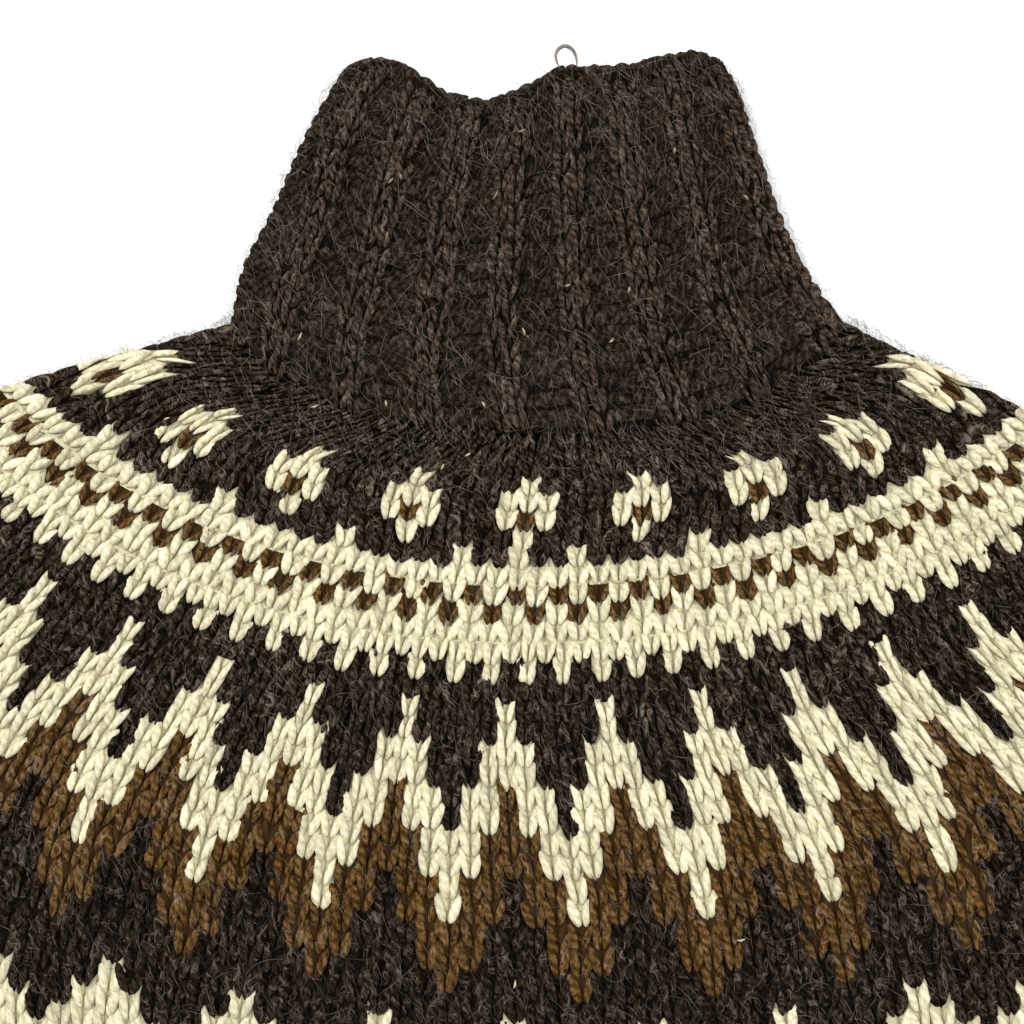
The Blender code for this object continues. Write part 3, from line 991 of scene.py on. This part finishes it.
def felted(tube, number):
    """How much paler the dark stitches of the yoke's upper rounds are."""
    if tube.node != "yoke":
        return 1.0
    return both(np.interp(number, FELTED_ROUNDS, (FELTED_TONE, 1.0)))


def spread(seed, count):
    """A way to draw random amounts, one for each of two strands of every stitch."""
    rng = np.random.default_rng(seed)
    return lambda size, middle=0: rng.normal(middle, size, (2 * count, 1))


def purls(tube, grain, number, column, seed):
    """The bumps of purl stitches, which lie across the furrows in two kinds of arc."""
    count = len(number)
    loose = spread(seed, count)
    up = np.repeat((1.0, -1.0), count)[:, None]
    lower = up < 0
    number, column = both(number), both(column)
    share = 0.5 * (1 - 2 * grain.share) + 0.5 * grain.along
    wander = WANDER * waver(number, column, seed)
    across = column + wander + lower * 0.5 + share * (PURL_REACH + loose(0.05))
    arch = (PURL_ARCH + loose(0.08)) * share**2 * up
    row = number - PURL_UP - PURL_STEP * lower + arch + loose(0.08)
    row = row + PURL_HALF_WIDTH * grain.across
    turn = tube.turn(across, number, None)
    lift = -PURL_SINK - PURL_END_SINK * share**2 - PURL_UNDER * lower + PURL_THICKNESS * grain.up
    # painted shade: purl arcs darker in the furrows, and darker still at their sunken ends
    tone = FURROW_SHADE * (1 + loose(0.1)) * (1 - PURL_END_SHADE * share**2)
    return raised(tube, row, turn, lift), tone


def edge_chain(tube, grain, top, seed):
    """The bound-off edge of a tube: a chain of strands along it, two for each stitch."""
    count = 2 * tube.zones[-1][1]
    loose = spread(seed, count)
    column = both(np.arange(count) + 0.25)
    outer = np.repeat((1.0, -1.0), count)[:, None]
    share = np.arccos(-np.clip(grain.along, -1, 1)) / np.pi - 0.5
    across = column + EDGE_REACH * share + loose(0.06)
    past = (loose(0.05, EDGE_PAST) - EDGE_HALF_WIDTH * grain.across) * (-1 if top else 1)
    edge = 0.0 if top else tube.rounds
    turn = tube.turn(across, np.full_like(across, edge), None)
    depth = -tube.wall / 2 + outer * (EDGE_SPLAY + EDGE_SLANT * share)
    tone = 1 + loose(0.08) + 0 * grain.across
    return settle(tube.points(edge + past, turn, depth + EDGE_THICKNESS * grain.up)), tone


def hairs(tube, count, lengths, seed, at_folds=False):
    """Points of loose hairs over the front: most lie near the way the columns run, and the
    stray ones any way. Few lie over the cream wool."""
    rng = np.random.default_rng(seed)
    row = rng.uniform(-0.2, tube.rounds + 0.2, count)
    row = np.where(rng.uniform(0, 1, count) < NEAR_TOP, rng.uniform(-0.2, TOP_ROUNDS, count), row)
    turn = rng.uniform(-1, 1, count)
    kept = rng.uniform(0, 1, count) < tube.half_length(row) / tube.lengths.max()
    if at_folds:
        kept[:] = True
        off = rng.uniform(-NEAR_EDGE, NEAR_EDGE, count) * tube.fold
        turn = np.sign(turn) * (1 - off / tube.half_length(row))
    elif not tube.ribs:
        level, bent = tube.drift(row, turn, row)
        column = np.round((2 * turn - bent) * tube.stitches(row) / 2).astype(int)
        number = np.clip(np.round(2 * row - level + 0.5), 1, tube.rounds).astype(int)
        cream = tube.chart(number, column) == CREAM
        kept &= ~cream | (rng.uniform(0, 1, count) < OVER_CREAM)
    row, turn = row[kept][:, None], turn[kept][:, None]
    each = (len(row), 1)
    angle = np.radians(NAP_LAYERS[0][0] + rng.normal(0, HAIR_SPREAD, each))
    angle = angle + (rng.uniform(0, 1, each) < 0.5) * np.pi
    stray = rng.uniform(0, 1, each) < STRAY
    angle = np.where(stray, rng.uniform(0, 2 * np.pi, each), angle)
    curl = rng.normal(0, CURL[0], each) + stray * rng.normal(0, CURL[1], each)
    curl = np.where(np.abs(curl) < LEAST_CURL, LEAST_CURL, curl)
    length = rng.gamma(4.0, 0.25, each) * rng.uniform(*lengths, each)
    share = THIN.share[None, :]
    s = share - 0.5
    heading = angle + curl * s
    radius = rng.uniform(*HAIR_RADIUS, each)
    beside = radius * THIN.across
    by_x = length * (np.cos(angle) - np.cos(heading)) / curl + beside * np.cos(heading)
    by_y = beside * np.sin(heading) - length * (np.sin(heading) - np.sin(angle)) / curl
    over = HAIR_GAP + rng.uniform(0, HAIR_RISE, each) * (1 - (2 * s) ** 2) + rng.normal(0, 0.25, each)
    if at_folds:
        over = over + rng.uniform(*EDGE_HAIR_RISE, each) * share
    row, turn = tube.moved(row, turn, by_x, by_y)
    fade = 1.0 if at_folds else np.maximum(1 - tube.past_fold(row, turn), 0.1)
    return settle(tube.points(row, turn, (over + tube.rise(row)) * fade + radius * THIN.up))


# ---- Flecks and the stray yarn ----
PATH_STEPS = 60  # places along a path, which are smoothed over a few of them
PATH_BLUR = 7
FRAME_MIDDLE = (515.0, 325.0)
FRAME_SCALE = 0.39
KEMP_FLECKS = (
    # across, down, length in millimetres, way in degrees
    (496, 198, 5.0, 60), (522, 135, 4.0, 20), (402, 180, 3.0, 100), (392, 184, 3.5, 45),
    (673, 154, 3.0, 80), (744, 200, 3.5, 130), (567, 288, 3.0, 15), (628, 292, 3.0, 75),
    (524, 333, 3.5, 110), (611, 342, 3.0, 40), (302, 338, 4.0, 65), (387, 404, 3.0, 95),
    (316, 407, 4.0, 20), (484, 405, 3.0, 120), (443, 467, 3.0, 60), (468, 455, 3.0, 30),
    (515, 982, 4.0, 80), (740, 938, 4.0, 10),
)
FLECK_RADIUS = 0.48
FLECK_LIFT = (1.9, 2.5, 2.0)
FLECK_BEND = 0.4
FLECK_TONES = (0.3, 0.8)
STRAY_RADIUS = 0.8
STRAY_LIFT = (-1.0, -0.5, 0.0, 0.2, 0.0, -0.5, -1.0)
STRAY_YARN = ((562, 74), (556, 64), (555, 56), (560, 50), (566, 49), (572, 52), (576, 59), (577, 74))


def from_photo(across, down):
    """A place in the photograph's frame of 1024 by 1024, in the garment's millimetres."""
    return (across - FRAME_MIDDLE[0]) * FRAME_SCALE, (FRAME_MIDDLE[1] - down) * FRAME_SCALE


def surface_of(chosen):
    """Heights of the fronts of some tubes, by the nearest of many points on them."""
    spots = []
    for tube in chosen:
        row, turn = np.meshgrid(np.linspace(0, tube.rounds, 160), np.linspace(-1, 1, 240))
        spots.append(tube.points(row.ravel(), turn.ravel()))
    spots = np.concatenate(spots)

    def height(x, y):
        off = (np.argmin((spots[:, 0] - a) ** 2 + (spots[:, 1] - b) ** 2) for a, b in zip(x, y))
        return spots[list(off), 2]

    return height


def along_path(grain, path, radius, lift, height):
    """Points of a strand that follows a path of places over the surface."""
    path = np.asarray(path, float)
    steps = np.concatenate([[0], np.hypot(*np.diff(path, axis=0).T).cumsum()])
    share = 1 - grain.share
    fine = np.linspace(0, steps[-1], PATH_STEPS)
    smooth = np.array([np.interp(fine, steps, axis) for axis in path.T])
    padded = np.pad(smooth, ((0, 0), (PATH_BLUR // 2, PATH_BLUR // 2)), mode="edge")
    kernel = np.ones(PATH_BLUR) / PATH_BLUR
    smooth = np.array([np.convolve(axis, kernel, "valid") for axis in padded])
    heading = np.gradient(smooth, axis=1)
    heading /= np.hypot(*heading)
    where = share * steps[-1]
    x, y, dx, dy = (np.interp(where, fine, axis) for axis in (*smooth, *heading))
    z = height(x, y) + np.interp(share, np.linspace(0, 1, len(lift)), lift)
    around = grain.across * radius
    return np.stack([x - dy * around, y + dx * around, z + grain.up * radius], axis=-1)


def flecks(height, material):
    """Short pale fibres in the dark wool."""
    points = []
    for across, down, length, way in KEMP_FLECKS:
        x, y = from_photo(across, down)
        s = np.linspace(-0.5, 0.5, 5)
        heading = np.radians(way) + FLECK_BEND * s
        path = np.column_stack([x + length * s * np.cos(heading), y + length * s * np.sin(heading)])
        points.append(along_path(FINE, path, FLECK_RADIUS, FLECK_LIFT, height))
    tone = np.linspace(*FLECK_TONES, len(points))[:, None] + np.zeros_like(FINE.up)
    copies("kemp_flecks", FINE, np.array(points), material, tone)


def stray_yarn(height, material):
    """A loop of yarn that stands over the collar's top edge, with both ends in the knitting."""
    path = np.array([from_photo(*spot) for spot in STRAY_YARN])
    points = along_path(LONG, path, STRAY_RADIUS, STRAY_LIFT, height)
    copies("stray_yarn_loop", LONG, points[None], material)


# ---- The floor, the light and the camera ----
CAMERA_HEIGHT = 0.555
CAMERA_AIM = (-1.2, -72.9)
CLOTH_TOP = 9.0
LENS = 50.0
SENSOR = 36.0
TABLE_REACH = 3.0
PAPER_WHITE = (0.93, 0.93, 0.93, 1.0)
WORLD_WHITE = (1.0, 1.0, 1.0, 1.0)
WORLD_STRENGTH = 0.75
LAMPS_AIM = (0.0, -100.0, 0.0)
LAMPS = (
    # name, right of the aim and up the picture from it, height, size, power
    ("soft_box_left", -0.9, 1.0, 1.5, 0.9, 26.0),
    ("soft_box_right", 1.2, 0.5, 1.4, 1.0, 10.0),
)


def floor():
    bm = bmesh.new()
    bmesh.ops.create_grid(bm, x_segments=1, y_segments=1, size=TABLE_REACH)
    mesh = bpy.data.meshes.new("white_table")
    bm.to_mesh(mesh)
    bm.free()
    paper = Finish("white_paper")
    paper.fill(paper.shader, {"Base Color": PAPER_WHITE, "Roughness": 0.8})
    mesh.materials.append(paper.material)
    new_object("white_table", mesh)


def lamp(name, place, aim, size, power):
    light = bpy.data.lights.new(name, "AREA")
    light.shape = "DISK"
    light.size = size
    light.energy = power
    turn = (Vector(aim) - Vector(place)).to_track_quat("-Z", "Y")
    new_object(name, light, place).rotation_euler = turn.to_euler()


def lights():
    world = bpy.data.worlds.new("studio")
    world.use_nodes = True
    backdrop = world.node_tree.nodes["Background"]
    backdrop.inputs["Color"].default_value = WORLD_WHITE
    backdrop.inputs["Strength"].default_value = WORLD_STRENGTH
    bpy.context.scene.world = world
    x, y, z = placed(np.array(LAMPS_AIM))
    for name, right, up, height, size, power in LAMPS:
        lamp(name, (x + right, y + up, height), (x, y, z), size, power)


def camera():
    lens = bpy.data.cameras.new("camera")
    lens.lens = LENS
    lens.sensor_width = SENSOR
    x, y, z = placed(np.array([*CAMERA_AIM, CLOTH_TOP]))
    bpy.context.scene.camera = new_object("camera", lens, (x, y, z + CAMERA_HEIGHT))
    bpy.context.scene.view_settings.view_transform = "Standard"


# ---- The sweater ----
# Of each tube: its flat cut in metres, as knitted all round, which is its width, its length
# and its area as a share of them, and the number of hairs over its front
PIECES = {
    "collar": (0.535, 0.141, 0.73, 1700),
    "yoke": (1.605, 0.376, 0.63, 7000),
    "body": (1.005, 0.314, 0.92, 700),
    "hem_rib": (0.985, 0.067, 0.95, 200),
    "sleeve_left": (0.330, 0.432, 0.85, 350),
    "sleeve_right": (0.330, 0.432, 0.85, 350),
    "cuff_left": (0.205, 0.067, 0.87, 100),
    "cuff_right": (0.205, 0.067, 0.87, 100),
}


def knit(tube, wools, seed):
    """The stitches on the front of one tube: a piece for the strands of each wool, and on a
    ribbed tube its purl stitches and its bound edge."""
    pieces = []

    def add(what, grain, points, wool, tone):
        pieces.append(copies(f"{tube.node}_{what}", grain, points, wool, tone, seed))

    ribbed = wools["collar"]
    number, column = front_stitches(tube)
    yarn = tube.chart(number, column)
    for kind in sorted(set(yarn.tolist())):
        chosen = yarn == kind
        grain = PLAIN if tube.node not in ("yoke", "collar") else FINE if kind == DARK else SMOOTH
        points, tone = legs(tube, grain, number[chosen], column[chosen], kind, seed + 10 * kind)
        if kind == DARK:
            # painted light on the ridges of a rib; elsewhere the paler felted wool of the yoke's upper
            # rounds
            tone = tone * (RIDGE_LIGHT if tube.ribs else felted(tube, number[chosen]))
        wool = ribbed if tube.ribs else wools[YARNS[kind]]
        add(f"{YARNS[kind]}_stitches", grain, points, wool, tone)
    if tube.ribs:
        grain = SMALL if tube.open_top else PLAIN
        points, tone = purls(tube, grain, *front_stitches(tube, purl=True), seed)
        add("purl_stitches", grain, points, ribbed, tone)
        points, tone = edge_chain(tube, PLAIN, tube.open_top, seed)
        add("bound_edge", PLAIN, points, ribbed, tone)
    return pieces


def main():
    garment = tubes()
    backing = backing_wool()
    wools = {name: strand_wool(f"{name}_wool", *looks) for name, looks in WOOLS.items()}
    pale_hair = hair_wool("pale_hair", PALE_HAIR)
    shells, stitches = {}, {}
    for seed, (node, tube) in enumerate(garment.items()):
        shells[node] = shell(tube, backing)
        stitches[node] = knit(tube, wools, seed)
    for seed, (node, (*_, count)) in enumerate(PIECES.items()):
        for name, points in (
            ("hairs", hairs(garment[node], count, HAIR_LENGTHS, seed)),
            ("edge_hairs", hairs(garment[node], count // EDGE_HAIRS, EDGE_HAIR_LENGTHS, seed + 50, True)),
        ):
            stitches[node].append(copies(f"{node}_{name}", THIN, points, pale_hair))
    height = surface_of([garment["collar"], garment["yoke"]])
    flecks(height, wools["cream"])
    stray_yarn(height, pale_hair)
    floor()
    lights()
    camera()


main()
